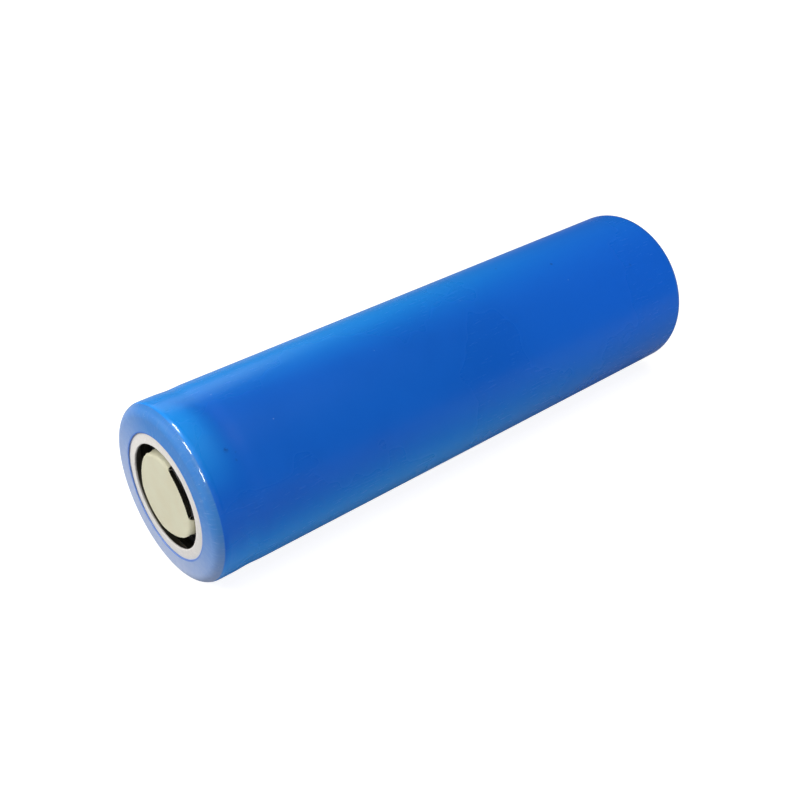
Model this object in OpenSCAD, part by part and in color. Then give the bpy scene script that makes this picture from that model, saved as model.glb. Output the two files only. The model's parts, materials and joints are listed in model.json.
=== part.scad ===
// Cylindrical lithium-ion cell, flat-top type, in a plain heat-shrink sleeve.
// The cell lies on its side: its axis runs along Y, the positive end faces -Y,
// and the origin is on the axis at mid-length. Millimetres.

/* [Cell size] */
// Outside diameter over the sleeve
cell_d = 18.3; // [18.2:0.05:18.5]
// Length from the positive terminal face to the folded sleeve at the negative end
cell_l = 65; // [64.8:0.1:65.4]

/* [Sleeve] */
// Wall thickness of the shrunk sleeve
sleeve_t = 0.1; // [0.08:0.01:0.12]
// Opening left by the fold at the positive end
sleeve_pos_d = 12.8; // [12.5:0.1:13.4]
// Opening left by the fold at the negative end
sleeve_neg_d = 13.8; // [13:0.1:15]
// Outside radius of the folded edge at both ends
sleeve_edge_r = 1.2; // [1.15:0.05:1.3]
// Depth of the faint waist where the sleeve bridges the bead groove
waist_depth = 0.06; // [0.02:0.01:0.1]

/* [Can] */
// Thickness of the deep-drawn steel
can_t = 0.25; // [0.2:0.01:0.28]
// Outside radius of the bottom corner
can_corner_r = 1.1; // [1:0.05:1.2]
// Distance from the positive terminal face to the middle of the bead groove
bead_pos = 4.4; // [4.4:0.05:4.5]
// Depth of the bead groove
bead_depth = 1.25; // [1.1:0.05:1.28]
// Inside diameter of the crimped lip
lip_d = 13.4; // [13.2:0.1:14]

/* [Positive end] */
// Height of the terminal face above the insulating washer
washer_recess = 0.15; // [0.15:0.05:0.25]
// Inside diameter of the insulating washer
washer_id = 10.7; // [10.4:0.1:11]
// Outside diameter of the insulating washer
washer_od = 16; // [15:0.1:16]
// How far the washer's free inner edge stands off the crimp
washer_lift = 0.1; // [0:0.01:0.12]
// Diameter of the flat terminal face
face_d = 8.5; // [8.3:0.1:9]
// How far each vent window bites into the rim of the terminal face
window_cut = 0.25; // [0.1:0.05:0.45]
// Clock angle of the upper leg that carries the terminal face, seen from the positive end
leg_1 = 93; // [88:1:98]
// Clock angle of the left leg
leg_2 = 228; // [222:1:234]
// Clock angle of the right leg
leg_3 = 346; // [341:1:351]
// Angular width of the upper leg, degrees
leg_1_width = 44; // [38:1:48]
// Angular width of the other two legs, degrees
leg_width = 26; // [20:1:30]

/* [Wound electrodes] */
// Diameter of the mandrel space in the middle of the roll
core_d = 3.5; // [3.3:0.1:3.6]
// Thickness of each separator film
sep_t = 0.02; // [0.016:0.001:0.02]
// Thickness of the copper foil
cu_t = 0.012; // [0.008:0.001:0.012]
// Thickness of the aluminium foil
al_t = 0.02; // [0.014:0.001:0.02]
// Thickness of one anode coating
anode_t = 0.08; // [0.078:0.001:0.08]
// Thickness of one cathode coating
cathode_t = 0.085; // [0.083:0.001:0.085]

/* [Hidden] */

// Parts are drawn upright, axis along Z and positive end up, then laid down.
gap = 0.01;                     // clearance between neighbouring parts
face_z = cell_l/2;              // positive terminal face
fold_z = -cell_l/2;             // fold of the sleeve at the negative end
sleeve_r = cell_d/2;
can_r = sleeve_r - sleeve_t - gap;
can_inner_r = can_r - can_t;
can_bottom = fold_z + sleeve_t; // rim of the can's bottom
washer_top = face_z - washer_recess;
washer_t = 0.2;
crimp_top = washer_top - washer_t;

bead_z = face_z - bead_pos;     // middle of the bead groove
bead_blend_r = 0.7;             // where the groove leaves the wall
bead_root_r = 0.6;
bead_dx = bead_root_r + bead_blend_r - bead_depth;
bead_dz = sqrt(pow(bead_root_r + bead_blend_r, 2) - pow(bead_dx, 2));
bead_angle = atan2(bead_dz, bead_dx);
crimp_r = 1.0;                  // crimped shoulder

// header stack, from the cap downwards
cap_top = face_z - 1.35;        // flange of the cap
cap_bottom = cap_top - 0.5;
ptc_bottom = cap_bottom - 0.4;
vent_t = 0.4;
vent_bottom = ptc_bottom - vent_t;
plate_top = vent_bottom - 1.25;
plate_t = 0.4;
plate_bottom = plate_top - plate_t;
disc_r = can_inner_r - 0.74;    // cap, PTC ring and vent disc
face_r = face_d/2;

// [clock angle, angular width]; the first leg is repeated to close the circle
legs = [[leg_1, leg_1_width], [leg_2, leg_width], [leg_3, leg_width],
    [leg_1 + 360, leg_1_width]];
window_mids = [for (i = [0:2])
    (legs[i][0] + legs[i][1]/2 + legs[i + 1][0] - legs[i + 1][1]/2)/2];

// wound roll: offsets of the layers outwards from the base spiral
film_gap = 0.002;
sep1_off = 0;
anode1_off = sep1_off + sep_t + film_gap;
cu_off = anode1_off + anode_t;
anode2_off = cu_off + cu_t;
sep2_off = anode2_off + anode_t + film_gap;
cathode1_off = sep2_off + sep_t + film_gap;
al_off = cathode1_off + cathode_t;
cathode2_off = al_off + al_t;
pitch = cathode2_off + cathode_t + film_gap;
roll_r = can_inner_r - 0.15;

// places along the spiral, counted in points
turn_points = 24;               // spiral points in one turn
roll_end = floor(turn_points*((roll_r - core_d/2)/pitch - 1));
anode_start = 12;
anode_end = roll_end - 6;
coat_end = anode_end - 8;       // the outer end of the anode foil is bare
cathode_start = 24;
cathode_end = roll_end - 18;
// positive tab near mid-radius, negative tab at the outer end of the anode
pos_tab_r = 5.05;
pos_tab_start = round(turn_points*(pos_tab_r - core_d/2 - al_off)/pitch) - 1;
neg_tab_start = anode_end - 4;

// heights of the films: each foil stops short of the separator at both ends
sep_bottom = fold_z + 0.8;
sep_top = face_z - 6.3;
sep_span = [sep_bottom, sep_top];
anode_span = [sep_bottom + 0.6, sep_top - 0.6];
cathode_span = [sep_bottom + 1.1, sep_top - 1.1];

// tabs: clock angle and radius where each leaves the roll
pos_tab_t = 0.08;
neg_tab_t = 0.075;
pos_tab_angle = spiral_angle(pos_tab_start + 1.5);
pos_tab_exit_r = base_r(pos_tab_start + 1.5) + cathode2_off - 0.1;
neg_tab_angle = spiral_angle(neg_tab_start + 1);
neg_tab_foil_r = base_r(neg_tab_start + 1) + anode2_off;
tape_gap = 0.004;

blue = [0.09, 0.36, 0.75];
nickel = [0.82, 0.80, 0.72];
tab_nickel = [0.78, 0.77, 0.72];
alu = [0.80, 0.81, 0.83];
copper = [0.78, 0.47, 0.30];
steel = [0.70, 0.71, 0.72];
washer_white = [0.88, 0.87, 0.83];
ring_white = [0.90, 0.90, 0.86];
film_white = [0.95, 0.95, 0.96];
board = [0.85, 0.84, 0.78];
gasket_grey = [0.42, 0.40, 0.36];
ptc_black = [0.16, 0.16, 0.17];
anode_black = [0.17, 0.17, 0.18];
cathode_black = [0.12, 0.12, 0.13];
tape_green = [0.35, 0.62, 0.50];
tape_amber = [0.80, 0.62, 0.25];

function arc(centre, radius, from, to, steps) =
    [for (i = [0:steps]) let (angle = from + (to - from)*i/steps)
        [centre[0] + radius*cos(angle), centre[1] + radius*sin(angle)]];
function reversed(list) = [for (i = [len(list) - 1:-1:0]) list[i]];

// lays an upright part down with its top facing -Y
module lay() { rotate([90, 0, 0]) children(); }
// solid turned from a profile of [radius, height] points
module turned(profile) { rotate_extrude($fn = 96) polygon(profile); }
module tube(inner_r, outer_r, bottom, top) {
    difference() {
        translate([0, 0, bottom]) cylinder(r = outer_r, h = top - bottom, $fn = 96);
        translate([0, 0, bottom - 1]) cylinder(r = inner_r, h = top - bottom + 2, $fn = 96);
    }
}

// ---- outside ----

// one surface of the sleeve's wall, with the faint waist over the groove
function waist(radius) = let (half = 1.7) [for (i = [0:12])
    [radius - waist_depth*(0.5 - 0.5*cos(30*i)), bead_z - half + 2*half*i/12]];

module heat_shrink_sleeve() {
    pos_r = sleeve_pos_d/2;
    top = washer_top + gap + sleeve_t;
    edge_x = sleeve_r - sleeve_edge_r;
    inner_edge_r = sleeve_edge_r - sleeve_t;
    low_edge = [edge_x, fold_z + sleeve_edge_r];
    top_edge = [edge_x, top - sleeve_edge_r];
    hem_r = sleeve_t/2;
    hem = [sleeve_neg_d/2 + hem_r, fold_z + hem_r];
    color(blue) lay() turned(concat(
        arc(hem, hem_r, 180, 270, 4),
        arc(low_edge, sleeve_edge_r, -90, 0, 10),
        waist(sleeve_r),
        arc(top_edge, sleeve_edge_r, 0, 90, 12),
        // slightly curled edge of the positive opening
        [[pos_r + 0.8, top + 0.005], [pos_r + 0.35, top + 0.025],
         [pos_r + 0.14, top + 0.035], [pos_r + 0.05, top + 0.02],
         [pos_r, top - 0.03], [pos_r + 0.02, top - 0.08],
         [pos_r + 0.1, top - sleeve_t]],
        arc(top_edge, inner_edge_r, 90, 0, 12),
        reversed(waist(sleeve_r - sleeve_t)),
        arc(low_edge, inner_edge_r, 0, -90, 10),
        arc(hem, hem_r, 90, 180, 4)));
}

module insulating_washer() {
    inner_r = washer_id/2;
    outer_r = washer_od/2;
    color(washer_white) lay() turned([
        [inner_r, crimp_top + washer_lift], [6.6, crimp_top], [outer_r, crimp_top],
        [outer_r, washer_top], [6.35, washer_top], [inner_r, washer_top + washer_lift]]);
}

// Pieces of the can's wall; depth is measured in from its outer surface.
// blend above (side 1) or below (side -1) the bead groove
function bead_blend(depth, side, from, to) =
    arc([can_r - bead_blend_r, bead_z + side*bead_dz], bead_blend_r - depth, from, to, 6);
function crimp_shoulder(depth) =
    arc([can_r - crimp_r, crimp_top - crimp_r], crimp_r - depth, 0, 90, 8);
function can_path(depth) = concat(
    arc([can_r - can_corner_r, can_bottom + can_corner_r], can_corner_r - depth, -90, 0, 8),
    bead_blend(depth, -1, 0, bead_angle),
    [for (i = [1:13]) let (angle = 180 + bead_angle*(1 - i/7), radius = bead_root_r + depth)
        [can_r - bead_depth + bead_root_r + radius*cos(angle), bead_z + radius*sin(angle)]],
    bead_blend(depth, 1, -bead_angle, 0),
    crimp_shoulder(depth));

module cell_can() {
    // the terminal face is a flat pad, slightly proud of the rim under the fold
    pad_r = sleeve_neg_d/2 - 0.4;
    pad_z = can_bottom - sleeve_t/2;
    lip_r = can_t/2;            // rounded edge of the lip
    color(nickel) lay() turned(concat(
        [[0, pad_z], [pad_r, pad_z], [pad_r + 0.1, can_bottom]], can_path(0),
        arc([lip_d/2 + lip_r, crimp_top - lip_r], lip_r, 90, 270, 8),
        reversed(can_path(can_t)), [[0, can_bottom + can_t]]));
}

module crimp_gasket() {
    depth = can_t + gap;
    top = crimp_top - can_t - gap;
    bottom = vent_bottom - 0.85;
    start = -asin((bead_z + bead_dz - bottom)/(bead_blend_r - depth));
    top_inner_r = 6.45;
    low_inner_r = 6.6;
    color(gasket_grey) lay() turned(concat(
        [[low_inner_r, bottom]],
        bead_blend(depth, 1, start, 0),
        crimp_shoulder(depth),
        [[top_inner_r, top], [top_inner_r, cap_top], [disc_r + gap, cap_top],
         [disc_r + gap, vent_bottom], [low_inner_r, vent_bottom]]));
}

// ---- header ----

module leg_wedge(angle, width) {
    reach = 8;
    polygon([[0, 0],
        [reach*cos(angle - width/2), reach*sin(angle - width/2)],
        [1.1*reach*cos(angle), 1.1*reach*sin(angle)],
        [reach*cos(angle + width/2), reach*sin(angle + width/2)]]);
}

// the windows' inner edges are flatter than the face's rim
module window_edges() {
    shift = 2.6;
    intersection_for(angle = window_mids)
        translate([-shift*cos(angle), -shift*sin(angle)])
            circle(r = face_r - window_cut + shift, $fn = 120);
}

// what the vent windows leave in the middle
module hub(bottom, height) {
    translate([0, 0, bottom]) linear_extrude(height) intersection() {
        circle(r = face_r + 0.16, $fn = 96);
        window_edges();
    }
}

// cutter for the three windows; the hub and legs are kept from keep_bottom up
module windows(radius, bottom, keep_bottom, keep_h) {
    difference() {
        translate([0, 0, bottom]) cylinder(r = radius, h = 3, $fn = 96);
        hub(keep_bottom, keep_h);
        for (i = [0:2])
            translate([0, 0, keep_bottom]) linear_extrude(keep_h + (keep_h > 5 ? 0 : 0))
                leg_wedge(legs[i][0], legs[i][1]);
    }
}

module positive_cap() {
    rim_r = 0.34;
    color(nickel) lay() difference() {
        turned(concat(
            [[0, face_z - 0.45], [face_r - 0.45, face_z - 0.45],
             [face_r - 0.25, face_z - 0.62], [face_r + 0.4, cap_bottom + 0.15],
             [face_r + 0.6, cap_bottom], [disc_r - 0.08, cap_bottom],
             [disc_r, cap_bottom + 0.08], [disc_r, cap_top - 0.08],
             [disc_r - 0.08, cap_top], [face_r + 0.95, cap_top],
             [face_r + 0.7, cap_top + 0.08]],
            arc([face_r - 0.12, face_z - rim_r], rim_r, 20, 90, 6),
            [[0, face_z]]));
        // wider above the flange than through it
        windows(radius = 6.3, bottom = cap_top - 0.02, keep_bottom = cap_top - 1, keep_h = 5);
        windows(radius = 5.75, bottom = cap_bottom - 1, keep_bottom = cap_bottom - 2,
            keep_h = 6);
    }
}

module ptc_ring() {
    color(ptc_black) lay() tube(5.9, disc_r, ptc_bottom, cap_bottom);
}

// dished disc with a ring score and a centre boss that meets the contact plate
module vent_disc() {
    color(alu) lay() turned([
        // underside, outwards
        [0, plate_top], [1.2, plate_top], [1.5, plate_top + 0.12], [2.2, plate_top + 0.42],
        [4.5, vent_bottom - 0.32], [5.2, vent_bottom], [disc_r, vent_bottom],
        // upper side, inwards
        [disc_r, vent_bottom + vent_t], [5.2, vent_bottom + vent_t],
        [4.45, vent_bottom + 0.06], [4.25, vent_bottom + 0.02], [4.2, vent_bottom - 0.1],
        [4.1, vent_bottom - 0.1], [4.05, vent_bottom - 0.02], [2.15, plate_top + 0.74],
        [1.4, plate_top + 0.45], [1.1, plate_top + 0.34], [0, plate_top + 0.34]]);
}

module cid_insulator_ring() {
    outer_r = 6.5;
    skirt_r = 5.65;             // around the contact plate
    top = vent_bottom - gap;
    color(ring_white) lay() turned([
        [skirt_r, plate_bottom], [outer_r, plate_bottom], [outer_r, top], [5.3, top],
        [5.3, vent_bottom - 0.35], [5.0, plate_top + 0.4], [5.0, plate_top + gap],
        [skirt_r, plate_top + gap]]);
}

module contact_plate() {
    color(alu) lay() difference() {
        translate([0, 0, plate_bottom]) cylinder(r = 5.6, h = plate_t, $fn = 96);
        for (angle = [0:60:300])
            rotate([0, 0, angle + 30]) translate([3.6, 0, plate_top - 2])
                cylinder(r = 0.65, h = 4, $fn = 32);
        // ring groove around the centre that tears free with the disc
        translate([0, 0, plate_top - 0.18]) tube(1.35, 1.75, 0, 2);
    }
}

// ---- wound roll ----

function spiral_angle(i) = 360*i/turn_points;
function base_r(i) = core_d/2 + pitch*i/turn_points;
function spiral(i, offset) = let (angle = spiral_angle(i), radius = base_r(i) + offset)
    [radius*cos(angle), radius*sin(angle)];

// one wound layer from point first to point last, of thickness t outwards from offset;
// span is [bottom, top]
module layer(first, last, offset, t, span) {
    translate([0, 0, span[0]]) linear_extrude(span[1] - span[0]) polygon(concat(
        [for (i = [first:last]) spiral(i, offset)],
        [for (i = [last:-1:first]) spiral(i, offset + t)]));
}

module separator_inner() {
    color(film_white) lay() layer(0, roll_end, sep1_off, sep_t, sep_span);
}

module separator_outer() {
    color(film_white) lay() layer(0, roll_end, sep2_off, sep_t, sep_span);
}

module anode_foil() {
    color(copper) lay() layer(anode_start, anode_end, cu_off, cu_t, anode_span);
}

module anode_coating() {
    color(anode_black) lay() for (offset = [anode1_off, anode2_off])
        layer(anode_start, coat_end, offset, anode_t, anode_span);
}

module cathode_foil() {
    color(alu) lay() layer(cathode_start, cathode_end, al_off, al_t, cathode_span);
}

// the coating stops on both sides of the positive tab
module cathode_coating() {
    color(cathode_black) lay() for (offset = [cathode1_off, cathode2_off]) {
        layer(cathode_start, pos_tab_start - 1, offset, cathode_t, cathode_span);
        layer(pos_tab_start + 4, cathode_end, offset, cathode_t, cathode_span);
    }
}

module roll_tape() {
    color(tape_green) lay() tube(roll_r + 0.03, roll_r + 0.08, sep_bottom + 4, sep_top - 4);
}

module positive_tab_tape() {
    color(tape_amber) lay() layer(pos_tab_start, pos_tab_start + 3,
        cathode1_off + tape_gap, cathode_t - 2*tape_gap, cathode_span);
}

module negative_tab_tape() {
    color(tape_amber) lay() layer(neg_tab_start - 1, neg_tab_start + 3,
        anode1_off + tape_gap, anode_t - 2*tape_gap, anode_span);
}

// hollow pin, slit along its +X side
module center_pin() {
    slit = 0.4;
    color(steel) lay() difference() {
        tube(1.3, 1.5, sep_bottom + 0.6, sep_top - 0.5);
        translate([0, -slit/2, sep_bottom]) cube([3, slit, cell_l]);
    }
}

// ---- tabs and insulators ----

// Strip of metal: curved with the windings at first, then flat and bent.
// rows is a list of stations; each is a list of columns; each column is a pair of points.
module ribbon(rows) {
    n = len(rows);
    m = len(rows[0]);
    function id(i, j, k) = (i*m + j)*2 + k;
    points = [for (row = rows) for (column = row) for (point = column) point];
    sides = [for (i = [0:n - 2]) for (j = [0:m - 2]) for (face = [
        [id(i, j, 0), id(i + 1, j + 1, 0), id(i + 1, j, 0)],
        [id(i, j, 0), id(i, j + 1, 0), id(i + 1, j + 1, 0)],
        [id(i, j, 1), id(i + 1, j, 1), id(i + 1, j + 1, 1)],
        [id(i, j, 1), id(i + 1, j + 1, 1), id(i, j + 1, 1)]]) face];
    edges = [for (i = [0:n - 2]) for (face = [
        [id(i, 0, 0), id(i + 1, 0, 0), id(i + 1, 0, 1)],
        [id(i, 0, 0), id(i + 1, 0, 1), id(i, 0, 1)],
        [id(i, m - 1, 0), id(i + 1, m - 1, 1), id(i + 1, m - 1, 0)],
        [id(i, m - 1, 0), id(i, m - 1, 1), id(i + 1, m - 1, 1)]]) face];
    ends = [for (j = [0:m - 2]) for (face = [
        [id(0, j, 0), id(0, j, 1), id(0, j + 1, 1)],
        [id(0, j, 0), id(0, j + 1, 1), id(0, j + 1, 0)],
        [id(n - 1, j, 0), id(n - 1, j + 1, 1), id(n - 1, j, 1)],
        [id(n - 1, j, 0), id(n - 1, j + 1, 0), id(n - 1, j + 1, 1)]]) face];
    polyhedron(points = points, faces = concat(sides, edges, ends), convexity = 6);
}

// station of a strip wound with the roll, at height z, over a number of spiral steps
function wound_row(first, steps, offset, t, z) = [for (j = [0:steps])
    [for (o = [offset, offset + t]) let (point = spiral(first + j, o)) [point[0], point[1], z]]];
// station of a flat strip; at is [radius, height, normal's radius part, normal's height part]
function flat_row(at, angle, width, steps, t) = [for (j = [0:steps])
    let (across = width*(j/steps - 0.5))
    [for (side = [-1, 1]) let (r = at[0] + side*t/2*at[2], z = at[1] + side*t/2*at[3])
        [r*cos(angle) - across*sin(angle), r*sin(angle) + across*cos(angle), z]]];

module positive_tab() {
    width = 3.9;
    bend_r = 0.3;
    bend_x = pos_tab_exit_r - bend_r;
    bend_z = sep_top + 0.75;
    run_z = bend_z + bend_r;                // run across the roll
    plate_z = plate_bottom - pos_tab_t/2;   // run back under the contact plate
    fold_x = -3.2;
    fold_r = (plate_z - run_z)/2;
    path = concat(
        [[pos_tab_exit_r, sep_top + 0.25, 1, 0], [pos_tab_exit_r, bend_z, 1, 0]],
        [for (b = [20:20:80])
            [bend_x + bend_r*cos(b), bend_z + bend_r*sin(b), cos(b), sin(b)]],
        [[bend_x, run_z, 0, 1], [fold_x, run_z, 0, 1]],
        [for (b = [30:30:150])
            [fold_x - fold_r*sin(b), run_z + fold_r - fold_r*cos(b), sin(b), cos(b)]],
        [[fold_x, plate_z, 0, -1], [2.6, plate_z, 0, -1]]);
    color(alu) lay() ribbon(concat(
        [for (z = [-20, sep_top + 0.02])
            wound_row(pos_tab_start, 3, cathode2_off, pos_tab_t, z)],
        [for (at = path) flat_row(at, pos_tab_angle, width, 3, pos_tab_t)]));
}

module negative_tab() {
    width = 4.1;
    bend_r = 0.25;
    exit_r = neg_tab_foil_r - 0.2;
    run_z = can_bottom + can_t + neg_tab_t/2 + gap;
    path = concat(
        [[exit_r, sep_bottom - 0.08, 1, 0]],
        [for (b = [0:22.5:90]) [exit_r - bend_r + bend_r*cos(b),
            run_z + bend_r - bend_r*sin(b), cos(b), -sin(b)]],
        [[-2.6, run_z, 0, -1]]);
    rows = concat(
        [for (z = [-5, sep_bottom - 0.02])
            wound_row(neg_tab_start, 2, anode2_off, neg_tab_t, z)],
        [for (at = path) flat_row(at, neg_tab_angle, width, 2, neg_tab_t)]);
    // it runs downwards, so its columns are reversed to keep the faces outwards
    color(tab_nickel) lay() ribbon([for (row = rows) reversed(row)]);
}

// disc with a centre hole, a slot for the tab and five holes
module upper_insulator() {
    color(board) lay() difference() {
        translate([0, 0, sep_top + 0.2]) cylinder(r = can_inner_r - 0.2, h = 0.3, $fn = 96);
        translate([0, 0, sep_top - 1]) cylinder(r = 1.2, h = 4, $fn = 48);
        rotate([0, 0, pos_tab_angle])
            translate([pos_tab_exit_r - 0.6, -2.4, sep_top - 1]) cube([1.2, 4.8, 4]);
        for (angle = [60:60:300])
            rotate([0, 0, pos_tab_angle + angle]) translate([5.6, 0, sep_top - 1])
                cylinder(r = 0.9, h = 4, $fn = 32);
    }
}

// disc with a centre hole and a cut for the tab
module bottom_insulator() {
    color(board) lay() difference() {
        translate([0, 0, sep_bottom - 0.3])
            cylinder(r = can_inner_r - 0.62, h = 0.2, $fn = 96);
        translate([0, 0, sep_bottom - 2]) cylinder(r = 1.2, h = 4, $fn = 48);
        rotate([0, 0, neg_tab_angle])
            translate([neg_tab_foil_r - 0.65, -2.5, sep_bottom - 2]) cube([3, 5, 4]);
    }
}

heat_shrink_sleeve();
insulating_washer();
cell_can();
crimp_gasket();
positive_cap();
ptc_ring();
vent_disc();
cid_insulator_ring();
contact_plate();
positive_tab();
positive_tab_tape();
upper_insulator();
separator_inner();
separator_outer();
cathode_foil();
cathode_coating();
anode_foil();
anode_coating();
roll_tape();
center_pin();
bottom_insulator();
negative_tab();
negative_tab_tape();
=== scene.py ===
"""A wrapped cylindrical battery cell, lying along Y with its positive end at -Y.

Four pieces are modelled here (sleeve, washer, positive cap, can); the other nodes keep their CAD
meshes. Lengths are in millimetres and are scaled to metres when a mesh, light or camera is made.
An angle runs from +X towards +Z, counter-clockwise as seen from the positive end.
"""
import json
import math
from functools import cached_property

import bmesh
import bpy
import numpy as np
from mathutils import Matrix, Vector, noise

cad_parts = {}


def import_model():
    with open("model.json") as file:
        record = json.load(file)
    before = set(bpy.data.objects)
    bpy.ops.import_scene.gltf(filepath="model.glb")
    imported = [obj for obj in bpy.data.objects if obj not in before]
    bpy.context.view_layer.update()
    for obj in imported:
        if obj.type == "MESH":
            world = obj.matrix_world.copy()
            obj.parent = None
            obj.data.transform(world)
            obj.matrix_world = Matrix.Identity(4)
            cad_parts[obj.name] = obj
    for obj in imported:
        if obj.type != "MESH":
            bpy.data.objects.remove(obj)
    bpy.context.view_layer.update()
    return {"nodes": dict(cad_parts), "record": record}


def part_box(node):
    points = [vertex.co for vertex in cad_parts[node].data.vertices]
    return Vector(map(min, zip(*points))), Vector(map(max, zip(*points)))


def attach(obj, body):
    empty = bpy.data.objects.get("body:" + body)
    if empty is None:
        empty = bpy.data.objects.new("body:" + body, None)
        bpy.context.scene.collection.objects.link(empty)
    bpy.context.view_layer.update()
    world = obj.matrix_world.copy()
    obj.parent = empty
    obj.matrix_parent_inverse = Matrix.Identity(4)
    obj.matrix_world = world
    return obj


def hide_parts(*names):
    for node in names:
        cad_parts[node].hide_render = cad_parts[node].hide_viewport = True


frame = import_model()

MM = 0.001
sleeve_lo, sleeve_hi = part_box("heat_shrink_sleeve")
can_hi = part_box("cell_can")[1]

SLEEVE_R = min(sleeve_hi.x, -sleeve_lo.x) / MM - 0.001    # outside of the sleeve
SLEEVE_T = 0.1
SLEEVE_BEND = 1.2               # outer radius of the bend into each fold
Y_NEG = sleeve_hi.y / MM        # fold at the negative end
Y_FOLD = sleeve_lo.y / MM       # outermost point of the fold at the positive end
Y_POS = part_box("positive_cap")[0].y / MM                  # terminal face
WASHER_T = 0.2
LIFT = 0.1                      # the washer's inner edge stands off the crimp
Y_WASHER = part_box("insulating_washer")[0].y / MM + LIFT   # outer face where it lies flat
Y_PAD = can_hi.y / MM           # negative terminal face
CAN_R = can_hi.x / MM
Y_CAN = Y_NEG - SLEEVE_T        # rim of the can's bottom, under the fold
Y_GROOVE = -28.1                # middle of the bead groove
LEGS = ((-132.0, 26.0), (-14.0, 26.0), (93.0, 44.0))      # the cap's legs: middle angle, width


# ---------------------------------------------------------------- mesh helpers
def make_object(name, verts, faces, smooth=True):
    mesh = bpy.data.meshes.new(name)
    mesh.from_pydata([tuple(float(c) * MM for c in v) for v in verts], [], faces)
    mesh.validate()
    mesh.update()
    if smooth:
        shade_smooth(mesh)
    ob = bpy.data.objects.new(name, mesh)
    bpy.context.scene.collection.objects.link(ob)
    return ob


def shade_smooth(mesh, sharp_degrees=None):
    mesh.polygons.foreach_set("use_smooth", [True] * len(mesh.polygons))
    if sharp_degrees is not None:
        mesh.set_sharp_from_angle(angle=math.radians(sharp_degrees))


def orient(ob, sheet=False):
    """Turns the normals outward; an open sheet is made to face -Y."""
    bm = bmesh.new()
    bm.from_mesh(ob.data)
    bmesh.ops.recalc_face_normals(bm, faces=bm.faces)
    if sheet and sum(f.normal.y * f.calc_area() for f in bm.faces) > 0:
        bmesh.ops.reverse_faces(bm, faces=bm.faces)
    bm.to_mesh(ob.data)
    bm.free()
    return ob


def turned(name, profile, segments, shape, poles=()):
    """Revolves a profile of (r, y) about Y; shape(r, y, angle, i) may move each point.

    The profile is a closed loop, or with two poles an open line from the first to the second.
    """
    verts, faces = [], []
    rows = len(profile)
    for j in range(segments):
        angle = 2 * math.pi * j / segments
        for i, point in enumerate(profile):
            r, y = shape(*point, angle, i)
            verts.append((r * math.cos(angle), y, r * math.sin(angle)))
    first_pole = len(verts)
    verts += poles
    for j in range(segments):
        here, there = j * rows, (j + 1) % segments * rows
        for i in range(rows - 1 if poles else rows):
            after = (i + 1) % rows
            faces.append((here + i, here + after, there + after, there + i))
        if poles:
            faces.append((first_pole, here, there))
            faces.append((first_pole + 1, there + rows - 1, here + rows - 1))
    return orient(make_object(name, verts, faces))


def arc(centre_r, centre_y, radius, start, end, count):
    """Profile points on an arc, from start to end in degrees."""
    angles = [math.radians(a) for a in steps(start, end, count)]
    return [(centre_r + radius * math.cos(a), centre_y + radius * math.sin(a)) for a in angles]


def steps(start, end, count):
    return [start + (end - start) * i / count for i in range(count + 1)]


def clamp(value):
    return max(0.0, min(1.0, value))


def ripple(angle, *layers):
    """Smooth noise round a circle; each layer is (height, rough number of waves, seed)."""
    x, z = math.cos(angle), math.sin(angle)
    return sum(height * noise.noise(Vector((waves * x / 3 + seed, waves * z / 3, seed * 0.7)))
               for height, waves, seed in layers)


# ---------------------------------------------------------------- node helpers
class Nodes:
    """An emptied node tree of a material or world."""

    def __init__(self, owner):
        owner.use_nodes = True
        self.owner = owner
        self.tree = owner.node_tree
        self.tree.nodes.clear()

    def put(self, socket, value):
        if isinstance(value, bpy.types.NodeSocket):
            self.tree.links.new(value, socket)
        elif isinstance(value, (tuple, list)) and len(value) == 3 and socket.type == "RGBA":
            socket.default_value = (*value, 1.0)
        else:
            socket.default_value = value

    def node(self, kind, inputs=None, **settings):
        """Adds a node and returns its outputs; inputs are keyed by name or index."""
        made = self.tree.nodes.new("ShaderNode" + kind)
        for key, value in settings.items():
            setattr(made, key, value)
        for key, value in (inputs or {}).items():
            self.put(made.inputs[key], value)
        return made.outputs


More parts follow.
